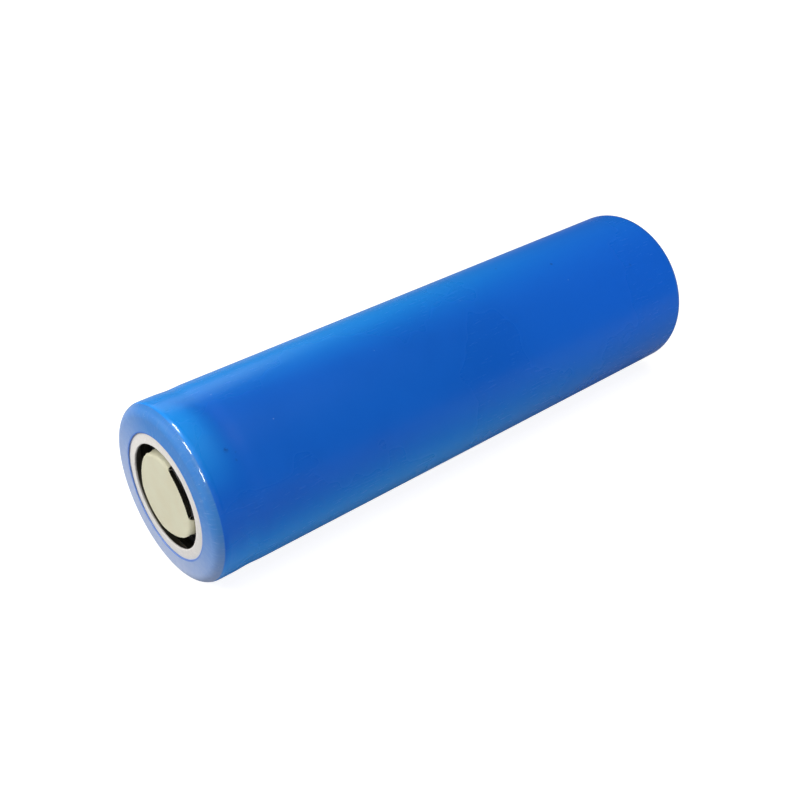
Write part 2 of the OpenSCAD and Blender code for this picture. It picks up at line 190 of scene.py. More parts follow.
class Mat(Nodes):
    """A material with short calls for the nodes used here. Texture space is in mm."""

    INPUTS = {"color": "Base Color", "rough": "Roughness", "metal": "Metallic", "normal": "Normal",
              "ior": "IOR", "coat": "Coat Weight", "coat_rough": "Coat Roughness",
              "sss": "Subsurface Weight", "sss_scale": "Subsurface Scale",
              "sheen": "Sheen Weight", "spec": "Specular IOR Level",
              "glow": "Emission Color", "glow_strength": "Emission Strength"}

    def __init__(self, name):
        super().__init__(bpy.data.materials.new(name))
        place = self.node("TexCoord")["Object"]
        self.pos = self.node("VectorMath", {0: place, "Scale": 1 / MM}, operation="SCALE")[0]

    @cached_property
    def xyz(self):
        return tuple(self.node("SeparateXYZ", {0: self.pos}))

    def math(self, operation, a, b=0.0, c=None):
        inputs = {0: a, 1: b} if c is None else {0: a, 1: b, 2: c}
        return self.node("Math", inputs, operation=operation)[0]

    def mul(self, a, b):
        return self.math("MULTIPLY", a, b)

    def add(self, a, b):
        return self.math("ADD", a, b)

    def inverse(self, mask):
        return self.math("SUBTRACT", 1.0, mask)

    def vec(self, x, y, z=0.0):
        return self.node("CombineXYZ", {0: x, 1: y, 2: z})[0]

    def stretch(self, factors, vector=None):
        return self.node("VectorMath", {0: vector or self.pos, 1: factors},
                         operation="MULTIPLY")[0]

    def noise(self, vector=None, scale=1.0, detail=2.0, rough=0.5, distort=0.0):
        return self.node("TexNoise", {"Vector": vector or self.pos, "Scale": scale,
                                      "Detail": detail, "Roughness": rough,
                                      "Distortion": distort})["Fac"]

    def voronoi(self, vector=None, scale=1.0, feature="F1"):
        return self.node("TexVoronoi", {"Vector": vector or self.pos, "Scale": scale},
                         feature=feature)["Distance"]

    def remap(self, value, span, to=(0.0, 1.0), kind="SMOOTHSTEP"):
        return self.node("MapRange", {0: value, 1: span[0], 2: span[1], 3: to[0], 4: to[1]},
                         interpolation_type=kind, clamp=True)[0]

    def over(self, base, mask, color, amount=None):
        """Lays a colour over a base through a mask, scaled by the amount where one is given."""
        if amount is not None:
            mask = self.mul(mask, amount)
        return self.node("Mix", {0: mask, 6: base, 7: color}, data_type="RGBA")[2]

    def bump(self, height, strength, depth, under=None):
        inputs = {"Strength": strength, "Distance": depth * MM, "Height": height}
        if under is not None:
            inputs["Normal"] = under
        return self.node("Bump", inputs)[0]

    def spot(self, centre, inner, outer):
        """1 inside a soft ball round a point, 0 outside."""
        offset = self.node("VectorMath", {0: self.pos, 1: centre}, operation="SUBTRACT")[0]
        scaled = self.stretch((1.0, 1.0, 1.0), offset)
        distance = self.node("VectorMath", {0: scaled}, operation="LENGTH")["Value"]
        return self.remap(distance, span=(outer, inner))

    def radius(self):
        x, _, z = self.xyz
        return self.math("SQRT", self.add(self.mul(x, x), self.mul(z, z)))

    def angle(self):
        x, _, z = self.xyz
        return self.math("ARCTAN2", z, x)

    def finish(self, **inputs):
        shader = self.node("BsdfPrincipled", {self.INPUTS[k]: v for k, v in inputs.items()})[0]
        self.node("OutputMaterial", {0: shader})
        return self.owner


def srgb(*channels):
    """sRGB 0 to 255 to the linear colour a node takes."""
    scaled = [c / 255 for c in channels]
    return tuple(c / 12.92 if c <= 0.04045 else ((c + 0.055) / 1.055) ** 2.4 for c in scaled)


def shade(color, factor):
    return tuple(min(1.0, c * factor) for c in color)


# ---------------------------------------------------------------- sleeve material
# Handling marks, by the bead groove and near the negative end:
# centre, fully marked radius, faded radius, strength
SLEEVE_MARKS = (
    ((5.92, -28.85, 6.98), 0.12, 0.34, 0.55),
    ((6.75, -28.35, 6.18), 0.05, 0.22, 0.35),
    ((6.30, -28.10, 6.64), 0.04, 0.16, 0.25),
    ((5.71, 25.85, 7.15), 0.06, 0.30, 0.3),
)


def sleeve_body_color(m, cloud, end):
    _, y, z = m.xyz
    col = m.over(srgb(13, 92, 194), m.remap(cloud, span=(0.35, 0.7)), srgb(15, 97, 201))
    # painted light: a little brighter towards the negative end
    col = m.over(col, m.remap(y, span=(-8.0, 30.0)), srgb(19, 101, 222), amount=0.75)
    # painted light: a painted sheen, lighter and more cyan at a grazing angle, and painted light
    # on the upper side next to the positive end
    facing = m.node("LayerWeight", {"Blend": 0.5})["Facing"]
    grazing_sheen = m.mul(m.remap(facing, span=(0.22, 0.72)),
                    m.remap(y, span=(-10.0, 28.0), to=(0.92, 0.28)))
    near = m.remap(y, span=(-27.5, -31.0))
    top = m.remap(z, span=(3.5, 9.0))
    painted_sheen = m.math("MAXIMUM", grazing_sheen, m.mul(m.mul(near, top), 0.85))
    return m.over(col, m.mul(painted_sheen, m.inverse(end)), srgb(26, 144, 234))


def sleeve_fold_color(m, col, end, r, rays):
    """Stress blush on the folded face, clearer where the cut edge rolls in, partly as painted
    shade along the lip; with a painted pale side.
    """
    x, _, z = m.xyz
    mottled = m.noise(scale=1.6, detail=4, rough=0.6)
    blush = m.mul(end, m.remap(mottled, span=(0.25, 0.75), to=(0.82, 1.0)))
    # the cut edge is left less blushed: partly real, as it is not stress-whitened, and partly
    # painted shade, a darker line along the lip
    rim = m.remap(r, span=(6.50, 6.66))
    blush = m.mul(blush, m.remap(rim, span=(0.0, 1.0), to=(0.35, 1.0)))
    col = m.over(col, blush, srgb(74, 139, 188), amount=0.6)
    # painted light: the fold is painted palest towards -X and -Z, a painted reflection of the
    # bright floor; the two factors are that direction
    painted_pale_side = m.remap(m.add(m.mul(x, -0.5), m.mul(z, -0.87)), span=(-5.5, 6.0), kind="LINEAR")
    col = m.over(col, m.mul(painted_pale_side, blush), srgb(186, 193, 214), amount=0.8)
    # glints near the shoulder and short radial stretch marks
    glint = m.mul(m.remap(m.voronoi(scale=2.6), span=(0.10, 0.05)), m.remap(r, span=(7.7, 8.4)))
    col = m.over(col, m.mul(glint, end), srgb(214, 228, 244), amount=0.5)
    ray_mask = m.mul(m.remap(rays, span=(0.52, 0.7)), end)
    return m.over(col, ray_mask, srgb(176, 200, 232), amount=0.16)


def sleeve_specks(m, col):
    """Dark specks, pale dust and the handling marks."""
    specks = m.remap(m.voronoi(scale=0.16), span=(0.035, 0.02))
    col = m.over(col, specks, srgb(8, 44, 110), amount=0.5)
    grains = m.voronoi(m.stretch((1.0, 1.0, 1.3)), scale=0.55)
    dust = m.mul(m.remap(grains, span=(0.045, 0.03)),
                 m.remap(m.noise(scale=0.35), span=(0.5, 0.62)))
    col = m.over(col, dust, srgb(150, 186, 232), amount=0.35)
    for centre, inner, outer, strength in SLEEVE_MARKS:
        smudge = m.mul(m.spot(centre, inner, outer),
                       m.remap(m.noise(scale=5.0, detail=3), span=(0.3, 0.6)))
        col = m.over(col, smudge, srgb(12, 48, 120), amount=strength)
    return col


def sleeve_film():
    """Shrunk PVC: satin gloss, faint orange peel, die lines along the tube, blushed fold."""
    m = Mat("pvc_sleeve_blue")
    r = m.radius()
    y = m.xyz[1]
    cloud = m.noise(scale=0.07, detail=3, rough=0.55)
    end = m.remap(y, span=(-31.68, -31.82))     # 1 on the face of the positive end's fold
    # waves per radian and per mm of radius
    rays = m.noise(m.vec(m.mul(m.angle(), 34.0), m.mul(r, 0.8)), scale=1.0, detail=4, rough=0.7)
    col = sleeve_body_color(m, cloud, end)
    col = sleeve_fold_color(m, col, end, r, rays)
    col = sleeve_specks(m, col)

    # rubbed patches, hairline scuffs and a duller fold
    scuff = m.noise(m.stretch((3.0, 0.35, 3.0)), scale=1.4, detail=6, rough=0.7)
    rough = m.add(m.remap(cloud, span=(0.3, 0.7), to=(0.24, 0.31)),
                  m.remap(scuff, span=(0.56, 0.74), to=(0.0, 0.07)))
    rough = m.add(rough, m.mul(end, 0.12))

    # die lines (waves per radian and per mm of length), orange peel, fine grain, stretch marks
    lines = m.noise(m.vec(m.mul(m.angle(), 24.0), m.mul(y, 0.02)), scale=1.0, detail=3)
    relief = m.bump(lines, strength=0.10, depth=0.05)
    relief = m.bump(m.noise(scale=1.1, detail=2), strength=0.10, depth=0.06, under=relief)
    relief = m.bump(m.noise(scale=7.0, detail=3), strength=0.06, depth=0.02, under=relief)
    relief = m.bump(m.mul(rays, end), strength=0.22, depth=0.03, under=relief)

    # the shoulder swaps part of its own highlight for a sharper coat
    shoulder = m.mul(m.remap(y, span=(-31.0, -31.35)), m.remap(y, span=(-32.22, -31.95)))
    spec = m.remap(shoulder, span=(0.0, 1.0), to=(0.29, 0.10))
    return m.finish(color=col, rough=rough, ior=1.52, spec=spec, normal=relief,
                    coat=m.mul(shoulder, 0.35), coat_rough=0.06)


# ---------------------------------------------------------------- other materials
def nickel_plate(m, lines, tint, dark, rough, worn):
    """Colour, roughness and normal of nickel plate with its grain along the given vector."""
    grain = m.noise(lines, scale=1.3, detail=5, rough=0.65)
    cloud = m.noise(scale=0.45, detail=4, rough=0.6)
    fine = m.noise(scale=14.0, detail=3, rough=0.6)
    col = m.over(dark, m.remap(cloud, span=(0.3, 0.75)), tint)
    col = m.over(col, m.remap(grain, span=(0.42, 0.7)), shade(tint, 1.12), amount=0.22)
    pits = m.remap(m.voronoi(scale=1.15), span=(0.06, 0.03))
    col = m.over(col, pits, shade(dark, 0.5), amount=0.35 * worn)
    roughness = m.add(m.remap(grain, span=(0.3, 0.7), to=rough),
                      m.mul(m.remap(cloud, span=(0.5, 0.75)), 0.08))
    normal = m.bump(grain, strength=0.16, depth=0.02)
    return col, roughness, m.bump(fine, strength=0.12, depth=0.01, under=normal)


def nickel_can():
    """Nickel plate with rings about the axis."""
    m = Mat("nickel_can")
    # waves per mm of radius and per radian
    rings = m.vec(m.mul(m.radius(), 9.0), m.mul(m.angle(), 0.8))
    col, rough, normal = nickel_plate(m, rings, tint=srgb(214, 212, 204),
                                      dark=srgb(190, 187, 178), rough=(0.26, 0.40), worn=0.5)
    return m.finish(color=col, metal=1.0, rough=rough, normal=normal)


def cap_painted_shade_and_dullness(m):
    """Mask of painted shade and a rougher finish: 1 on the windows' sheared edges and deep inside,
    which are painted nearly black; the legs stay nearly bright.
    """
    normal = m.node("NewGeometry")["Normal"]
    normal_y = m.node("SeparateXYZ", {0: normal})[1]
    side = m.remap(m.math("ABSOLUTE", normal_y), span=(0.46, 0.34))
    deep = m.remap(m.xyz[1], span=(-32.1, -31.8))
    painted_shade_and_dull = m.math("MAXIMUM", side, m.mul(deep, 0.97))
    edge_fade = (1.2, 2.6)      # degrees in from a leg's edge
    for middle, width in LEGS:
        away = m.math("ABSOLUTE", m.math("SUBTRACT", m.angle(), math.radians(middle)))
        leg = m.remap(away, span=[math.radians(width / 2 - inset) for inset in edge_fade])
        painted_shade_and_dull = m.mul(painted_shade_and_dull, m.inverse(m.mul(leg, 0.8)))
    return painted_shade_and_dull


def nickel_cap():
    """Nickel plate with straight rolling lines, and painted shade on the windows' edges and deep
    inside.
    """
    m = Mat("nickel_cap")
    col, rough, normal = nickel_plate(m, m.stretch((9.0, 1.0, 0.35)), tint=srgb(255, 252, 222),
                                      dark=srgb(252, 246, 213), rough=(0.34, 0.46), worn=0.3)
    painted_shade_and_dull = cap_painted_shade_and_dullness(m)
    # painted shade: the sheared edges and the parts deep inside are painted nearly black, darker
    # than bare nickel
    col = m.over(col, painted_shade_and_dull, (0.05, 0.045, 0.036), amount=0.96)
    rough = m.add(rough, m.mul(painted_shade_and_dull, 0.2))
    metal = m.math("MULTIPLY_ADD", painted_shade_and_dull, 0.35, 0.65)
    return m.finish(color=col, metal=metal, rough=rough, normal=normal)


def fibre_paper():
    """Vulcanised fibre paper: matt, with short crossing fibres and small flecks."""
    m = Mat("fibre_paper")
    along_z, along_x = [m.noise(m.stretch(factors), scale=2.2, detail=5, rough=0.7)
                        for factors in ((5.0, 1.0, 1.1), (1.1, 1.0, 5.0))]
    fibres = m.math("MAXIMUM", along_z, along_x)
    col = m.over(srgb(208, 204, 199), m.remap(fibres, span=(0.45, 0.75)), srgb(224, 221, 216))
    flecks = m.remap(m.voronoi(scale=1.4), span=(0.06, 0.03))
    col = m.over(col, flecks, srgb(168, 158, 146), amount=0.4)
    # painted shade with blue light bounced from the sleeve: the outer edge, next to the sleeve's
    # lip, is tinted bluish grey
    outer = m.remap(m.radius(), span=(6.05, 6.5))
    col = m.over(col, outer, srgb(196, 198, 206), amount=0.35)
    return m.finish(color=col, rough=m.remap(fibres, span=(0.3, 0.8), to=(0.85, 0.62)),
                    normal=m.bump(fibres, strength=0.35, depth=0.03), sheen=0.15)


def plastic(name, base, dark, rough=(0.42, 0.6)):
    """Moulded plastic: fine moulding texture, soft mottling and flow marks round the axis."""
    m = Mat(name)
    cloud = m.noise(scale=0.6, detail=3)
    # waves per mm of radius, per radian and per mm of length
    flow = m.noise(m.vec(m.mul(m.radius(), 3.0), m.mul(m.angle(), 1.2), m.mul(m.xyz[1], 2.0)),
                   scale=1.0, detail=4)
    fine = m.noise(scale=22.0, detail=2)
    col = m.over(dark, m.remap(cloud, span=(0.3, 0.75)), base)
    col = m.over(col, m.remap(flow, span=(0.5, 0.7)), shade(base, 0.9), amount=0.25)
    relief = m.bump(fine, strength=0.18, depth=0.01)
    relief = m.bump(flow, strength=0.1, depth=0.03, under=relief)
    return m.finish(color=col, rough=m.remap(fine, span=(0.3, 0.7), to=rough), normal=relief,
                    sss=0.1, sss_scale=0.0004)


def carbon_polymer():
    """Carbon-filled polymer ring: nearly black, with tiny bright grains."""
    m = Mat("ptc_polymer")
    fine = m.noise(scale=9.0, detail=5, rough=0.7)
    grains = m.remap(m.voronoi(scale=7.0), span=(0.12, 0.05))
    col = m.over((0.012, 0.012, 0.013), m.remap(fine, span=(0.35, 0.7)), (0.045, 0.045, 0.048))
    col = m.over(col, grains, (0.16, 0.16, 0.17), amount=0.5)
    return m.finish(color=col, rough=m.remap(fine, span=(0.3, 0.7), to=(0.45, 0.75)),
                    normal=m.bump(fine, strength=0.3, depth=0.02))


def worked_metal(name, tint, dark, rough, lines, scale, strength=0.15):
    """Rolled or pressed metal with directional lines and light staining."""
    m = Mat(name)
    grain = m.noise(m.stretch(lines), scale=scale, detail=5, rough=0.65)
    stain = m.noise(scale=0.5, detail=4, rough=0.6, distort=0.6)
    col = m.over(dark, m.remap(stain, span=(0.3, 0.75)), tint)
    col = m.over(col, m.remap(grain, span=(0.5, 0.75)), shade(tint, 1.15), amount=0.3)
    return m.finish(color=col, metal=1.0, rough=m.remap(grain, span=(0.3, 0.7), to=rough),
                    normal=m.bump(grain, strength=strength, depth=0.02))


def coating(name, dark, light, grain_scale):
    """Calendered electrode coating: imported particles, pressed almost smooth."""
    m = Mat(name)
    grains = m.voronoi(scale=grain_scale, feature="SMOOTH_F1")
    mottle = m.noise(scale=1.2, detail=5, rough=0.65)
    fine = m.noise(scale=30.0, detail=3)
    col = m.over(dark, m.remap(mottle, span=(0.3, 0.75)), light)
    col = m.over(col, m.remap(grains, span=(0.35, 0.1)), shade(light, 2.2), amount=0.25)
    relief = m.bump(fine, strength=0.2, depth=0.005)
    relief = m.bump(grains, strength=0.25, depth=0.01, under=relief)
    return m.finish(color=col, rough=m.remap(fine, span=(0.3, 0.7), to=(0.5, 0.8)),
                    normal=relief)


def film(name, base, dark, rough=(0.3, 0.5)):
    """Thin film or tape: stretch lines along the roll and cloudy thickness."""
    m = Mat(name)
    lines = m.noise(m.stretch((2.0, 0.15, 2.0)), scale=2.0, detail=4, rough=0.6)
    cloud = m.noise(scale=0.4, detail=3)
    col = m.over(dark, m.remap(cloud, span=(0.3, 0.7)), base)
    col = m.over(col, m.remap(lines, span=(0.55, 0.75)), shade(base, 1.1), amount=0.3)
    return m.finish(color=col, rough=m.remap(lines, span=(0.3, 0.7), to=rough),
                    normal=m.bump(lines, strength=0.15, depth=0.02))


# How far each kind of metal's grain is squeezed along X, Y and Z
STRIP = (6, 0.3, 6)
FOIL = (3, 0.2, 3)
PRESSED = (1, 1, 1)
PIN = (8, 0.3, 8)

MATERIALS = {
    "sleeve": sleeve_film(),
    "fibre_washer": fibre_paper(),
    "nickel_plated_can": nickel_can(),
    "gasket": plastic("gasket_polypropylene", base=srgb(132, 127, 115), dark=srgb(104, 100, 90)),
    "nickel_plated_cap": nickel_cap(),
    "ptc": carbon_polymer(),
    "aluminium_disc": worked_metal(
        "aluminium_pressed", tint=srgb(170, 172, 176), dark=srgb(120, 122, 126),
        rough=(0.28, 0.45), lines=PRESSED, scale=2.2),
    "header_insulator": plastic(
        "header_polypropylene", base=srgb(222, 221, 212), dark=srgb(200, 198, 188)),
    "aluminium_tab": worked_metal(
        "aluminium_strip", tint=srgb(212, 213, 217), dark=srgb(184, 186, 190),
        rough=(0.22, 0.36), lines=STRIP, scale=2.5),
    "amber_tape": film("polyimide_amber", base=srgb(206, 150, 60), dark=srgb(180, 122, 40)),
    "roll_insulator": plastic("die_cut_sheet", base=srgb(214, 211, 198),
                              dark=srgb(192, 188, 174), rough=(0.55, 0.75)),
    "separator": film("separator_film", base=srgb(238, 238, 242), dark=srgb(222, 223, 230),
                      rough=(0.4, 0.6)),
    "aluminium_foil": worked_metal(
        "aluminium_foil", tint=srgb(216, 218, 222), dark=srgb(190, 192, 197),
        rough=(0.15, 0.3), lines=FOIL, scale=3.0, strength=0.1),
    "cathode_coat": coating("cathode_oxide", dark=(0.010, 0.010, 0.011),
                            light=(0.020, 0.020, 0.022), grain_scale=16.0),
    "copper_foil": worked_metal(
        "copper_foil", tint=srgb(214, 138, 96), dark=srgb(178, 104, 70),
        rough=(0.18, 0.32), lines=FOIL, scale=3.0, strength=0.1),
    "anode_coat": coating("anode_graphite", dark=(0.016, 0.016, 0.017),
                          light=(0.034, 0.034, 0.037), grain_scale=12.0),
    "green_tape": film("green_roll_tape", base=srgb(84, 160, 126), dark=srgb(62, 132, 100)),
    "steel_pin": worked_metal(
        "stainless_pin", tint=srgb(192, 194, 197), dark=srgb(160, 162, 166),
        rough=(0.25, 0.4), lines=PIN, scale=2.0),
    "nickel_tab": worked_metal(
        "nickel_strip", tint=srgb(204, 200, 188), dark=srgb(178, 174, 162),
        rough=(0.25, 0.4), lines=STRIP, scale=2.5),
}

slot_of = {part["node"]: part["material_slot"] for part in frame["record"]["subparts"]}
for name, ob in frame["nodes"].items():
    material = MATERIALS[slot_of[name]]
    if ob.material_slots:
        for slot in ob.material_slots:
            slot.material = material
    else:
        ob.data.materials.append(material)


def finish_piece(ob, slot, replaced):
    ob.data.materials.append(MATERIALS[slot])
    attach(ob, "root")
    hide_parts(replaced)


# ---------------------------------------------------------------- sleeve
def sleeve():
    segments = 288
    bend, thick = SLEEVE_BEND, SLEEVE_T
    bend_r = SLEEVE_R - bend
    inner_r = SLEEVE_R - thick
    neg_edge = 6.9                          # cut edge at the negative end
    fold = Y_FOLD + 0.04                    # flat of the fold at the positive end
    dip_half, dip_depth = 1.7, 0.06         # where the film bridges the bead groove
    # cut edge at the positive end: radius, y from the flat of the fold
    pos_edge = ((6.95, -0.020), (6.75, -0.028), (6.6, -0.036), (6.52, -0.038), (6.46, -0.034),
                (6.42, -0.02), (6.4, 0.005), (6.395, 0.04), (6.41, 0.075), (6.46, thick))

    def dipped(r, y):
        u = (y - Y_GROOVE) / dip_half
        dip = dip_depth * (0.5 + 0.5 * math.cos(math.pi * u)) if abs(u) < 1 else 0.0
        return r - dip, y

    # outside, from the cut edge at the negative end to the one at the positive end
    outer = arc(neg_edge + 0.05, Y_NEG - 0.05, 0.05, 180, 90, 3)
    outer += [(r, Y_NEG) for r in (7.15, 7.4, 7.65)]
    outer += arc(bend_r, Y_NEG - bend, bend, 90, 0, 16)
    y = Y_NEG - bend - 1.0
    while y > Y_GROOVE + 2.2:
        outer.append((SLEEVE_R, y))
        y -= 1.0
    outer += [dipped(SLEEVE_R, y) for y in steps(Y_GROOVE + 2.0, Y_GROOVE - 2.0, 24)]
    outer += [(SLEEVE_R, y) for y in steps(Y_GROOVE - 2.3, fold + bend + 0.15, 3)]
    outer += arc(bend_r, fold + bend, bend, 0, -90, 20)
    outer += [(r, fold - 0.005 * k) for k, r in enumerate((7.75, 7.55, 7.35, 7.15))]
    outer += [(r, fold + dy) for r, dy in pos_edge]

    # inside, back to the negative end
    inner = [(r, fold + thick) for r in (6.7, 7.1, 7.5)]
    inner += arc(bend_r, fold + bend, bend - thick, -90, 0, 10)
    inner += [(inner_r, y) for y in steps(fold + bend + 0.3, Y_GROOVE - 1.9, 2)]
    inner += [dipped(inner_r, y) for y in steps(Y_GROOVE - dip_half, Y_GROOVE + dip_half, 12)]
    inner += [(inner_r, y) for y in steps(Y_GROOVE + 2.2, Y_NEG - bend - 0.4, 8)]
    inner += arc(bend_r, Y_NEG - bend, bend - thick, 0, 90, 10) + [(7.3, Y_NEG - thick)]

    def shape(r, y, angle, i):
        # the cut edges wander and the folds pucker slightly; the wall stays inside its true size
        off_wall = r < SLEEVE_R - 0.02
        if y < fold + bend and off_wall:
            pucker = clamp((8.6 - r) / 2.0)
            lip = clamp(1 - (r - 6.39) / 0.9)
            r += lip * (ripple(angle, (0.045, 7, 3.1), (0.02, 19, 8.4)) + 0.02)
            y += pucker * (0.010 + ripple(angle, (0.014, 15, 1.7), (0.006, 31, 5.2)))
            return r, max(y, Y_FOLD)
        if y > Y_NEG - bend and off_wall:
            pucker = clamp((8.6 - r) / 1.7)
            lip = clamp(1 - (r - 6.89) / 0.9)
            r += lip * (ripple(angle, (0.06, 6, 6.6), (0.03, 17, 2.2)) + 0.02)
            if i < len(outer):
                y = min(y - pucker * (0.012 + ripple(angle, (0.012, 13, 9.1))), Y_NEG)
            return r, y
        if i < len(outer):
            place = Vector((3.2 * math.cos(angle), y * 0.10, 3.2 * math.sin(angle)))
            return r - 0.006 * (1 + noise.noise(place * 0.8)) * 0.5, y
        return r, y

    film_ob = turned("sleeve_film", outer + inner, segments, shape)
    finish_piece(film_ob, "sleeve", "heat_shrink_sleeve")


# ---------------------------------------------------------------- washer
def washer():
    segments = 256
    hole_r, rim_r = 5.35, 8.0
    flat_r = 6.35                           # the ring lies flat from here out
    face, back = Y_WASHER, Y_WASHER + WASHER_T
    profile = [(hole_r + 0.03, face)]
    profile += [(r, face) for r in steps(hole_r + 0.12, rim_r - 0.1, 14)]
    profile += [(rim_r - 0.02, face + 0.01), (rim_r, face + 0.04),
                (rim_r, back - 0.03), (rim_r - 0.03, back)]
    profile += [(r, back) for r in steps(rim_r - 0.3, hole_r + 0.2, 4)]
    profile += [(hole_r + 0.03, back), (hole_r, back - 0.03),
                (hole_r, face + 0.09), (hole_r + 0.008, face + 0.03)]

    def shape(r, y, angle, i):
        edge = clamp(1 - (r - hole_r) / 0.25)
        uneven = 0.0
        if y < face + 0.05:
            place = Vector((r * 1.5 * math.cos(angle), r * 1.5 * math.sin(angle), 2.2))
            uneven = 0.004 * (1 + noise.noise(place))
        y -= LIFT * clamp((flat_r - r) / (flat_r - hole_r))
        return r + edge * ripple(angle, (0.018, 9, 4.4), (0.008, 40, 7.7)), y + uneven

    ring = turned("washer_ring", profile, segments, shape)
    finish_piece(ring, "fibre_washer", "insulating_washer")


# ---------------------------------------------------------------- positive cap
FACE_R = 4.25                   # the raised terminal face
WINDOW_R = 5.75                 # outer edge of the windows
CORNER_R = 0.28                 # their corner radius
WINDOW_HUB_R = 4.4              # nominal radius of their inner edge, for sizing the corners


def cap_profile():
    """Radius, y and length along the cap's section, from its middle outward."""
    points = [(0.0, Y_POS), (FACE_R - 0.12, Y_POS)]
    points += arc(FACE_R - 0.12, Y_POS + 0.34, 0.34, -86, -20, 11)
    points += [(FACE_R + 0.68, Y_POS + 1.24), (FACE_R + 0.74, Y_POS + 1.29),
               (FACE_R + 0.82, Y_POS + 1.325), (FACE_R + 0.95, Y_POS + 1.35),
               (7.9, Y_POS + 1.35), (8.0, Y_POS + 1.37), (8.05, Y_POS + 1.43)]
    radii, heights = np.array(points).T
    lengths = np.cumsum(np.hypot(np.diff(radii), np.diff(heights)))
    return radii, heights, np.concatenate([[0.0], lengths])


def window_hub(degrees):
    """Inner edge of a window at an angle from its middle: flatter than the face's rim."""
    offset = 2.6                            # its arc's centre is this far across the axis
    radius = FACE_R - 0.25 + offset
    c, s = math.cos(math.radians(degrees)), math.sin(math.radians(degrees))
    return min(FACE_R + 0.16,
               -offset * c + math.sqrt(radius * radius - offset * offset * s * s))


def corner_fillet(u):
    """How far a rounded corner reaches into a window, u mm from the window's side."""
    if u >= CORNER_R:
        return 0.0
    return CORNER_R - math.sqrt(max(CORNER_R * CORNER_R - (CORNER_R - u) ** 2, 0.0))


def window_columns(leg, next_leg, step):
    """Columns of the window between two legs: angle, inner radius, outer radius, open after."""
    start = leg[0] + leg[1] / 2
    end = next_leg[0] - next_leg[1] / 2
    if end < start:
        end += 360
    middle, half = (start + end) / 2, (end - start) / 2
    corner = [math.degrees(CORNER_R * (1 - math.cos(math.radians(q))) / WINDOW_HUB_R)
              for q in (0, 15, 30, 45, 60, 75, 90)]
    straight = end - start - 2 * corner[-1]
    count = int(straight / step)
    angles = [start + c for c in corner]
    angles += [start + corner[-1] + straight * i / count for i in range(1, count)]
    angles += [end - c for c in reversed(corner)]
    columns = []
    for i, angle in enumerate(angles):
        away = abs(angle - middle)
        u = math.radians(half - away)
        burr = ripple(math.radians(angle), (0.040, 48, 2.9), (0.030, 130, 6.1))
        inner = (window_hub(min(away, 62.0)) + corner_fillet(u * WINDOW_HUB_R)
                 + burr * min(1.0, u * 8))
        outer = WINDOW_R - corner_fillet(u * WINDOW_R)
        columns.append((angle, inner, outer, i < len(angles) - 1))
    return columns


def cap_columns(step):
    """The columns of every window, each followed by those of the leg after it."""
    windows = [window_columns(LEGS[k], LEGS[(k + 1) % 3], step) for k in range(3)]
    columns = []
    for k, window in enumerate(windows):
        columns += window
        end, before = window[-1][:2]
        after = windows[(k + 1) % 3][0][1]
        width = LEGS[(k + 1) % 3][1]
        count = int(width / step)
        for i in range(1, count):
            f = i / count
            columns.append((end + width * i / count, before * (1 - f) + after * f,
                            WINDOW_R - CORNER_R, False))
    return columns


def cap():
    columns = cap_columns(step=0.5)
    radii, heights, lengths = cap_profile()

    def along(r):
        return float(np.interp(r, radii, lengths))

    face_rows = [along(r) for r in (0.5, 1.0, 1.6, 2.2, 2.8, 3.2)]
    hub_steps, window_steps, rim_steps = 14, 22, 12
    window_start = len(face_rows) + hub_steps
    window_end = window_start + window_steps
    rows = window_end + rim_steps + 1
    dish, dish_r = 0.012, 4.2               # the face is very slightly dished
    verts, faces = [(0.0, Y_POS + dish, 0.0)], []
    for degrees, inner, outer, _ in columns:
        angle = math.radians(degrees)
        s_inner, s_outer = along(inner), along(outer)
        stations = face_rows + steps(along(3.3), s_inner, hub_steps)
        stations += steps(s_inner, s_outer, window_steps)[1:]
        stations += steps(s_outer, float(lengths[-1]), rim_steps)[1:]
        for s in stations:
            r, y = float(np.interp(s, lengths, radii)), float(np.interp(s, lengths, heights))
            if r < dish_r:
                y += dish * (1 - (r / dish_r) ** 2)
            verts.append((r * math.cos(angle), y, r * math.sin(angle)))
    for j, column in enumerate(columns):
        here, there = 1 + j * rows, 1 + (j + 1) % len(columns) * rows
        faces.append((0, here, there))
        for i in range(rows - 1):
            if column[3] and window_start <= i < window_end:
                continue
            faces.append((here + i, here + i + 1, there + i + 1, there + i))
    # drop the points inside the open windows
    used = sorted({v for f in faces for v in f})
    new = {v: i for i, v in enumerate(used)}
    ob = make_object("terminal_cap", [verts[v] for v in used],
                     [tuple(new[v] for v in f) for f in faces])
    orient(ob, sheet=True)

    # give the sheet its thickness
    sheet = ob.modifiers.new("sheet", "SOLIDIFY")
    sheet.thickness = 0.42 * MM
    sheet.offset = -1.0
    sheet.use_even_offset = False
    evaluated = ob.evaluated_get(bpy.context.evaluated_depsgraph_get())
    solid = bpy.data.meshes.new_from_object(evaluated)
    ob.modifiers.clear()
    ob.data = solid
    solid.name = "terminal_cap"
    shade_smooth(solid, sharp_degrees=42)
    finish_piece(ob, "nickel_plated_cap", "positive_cap")


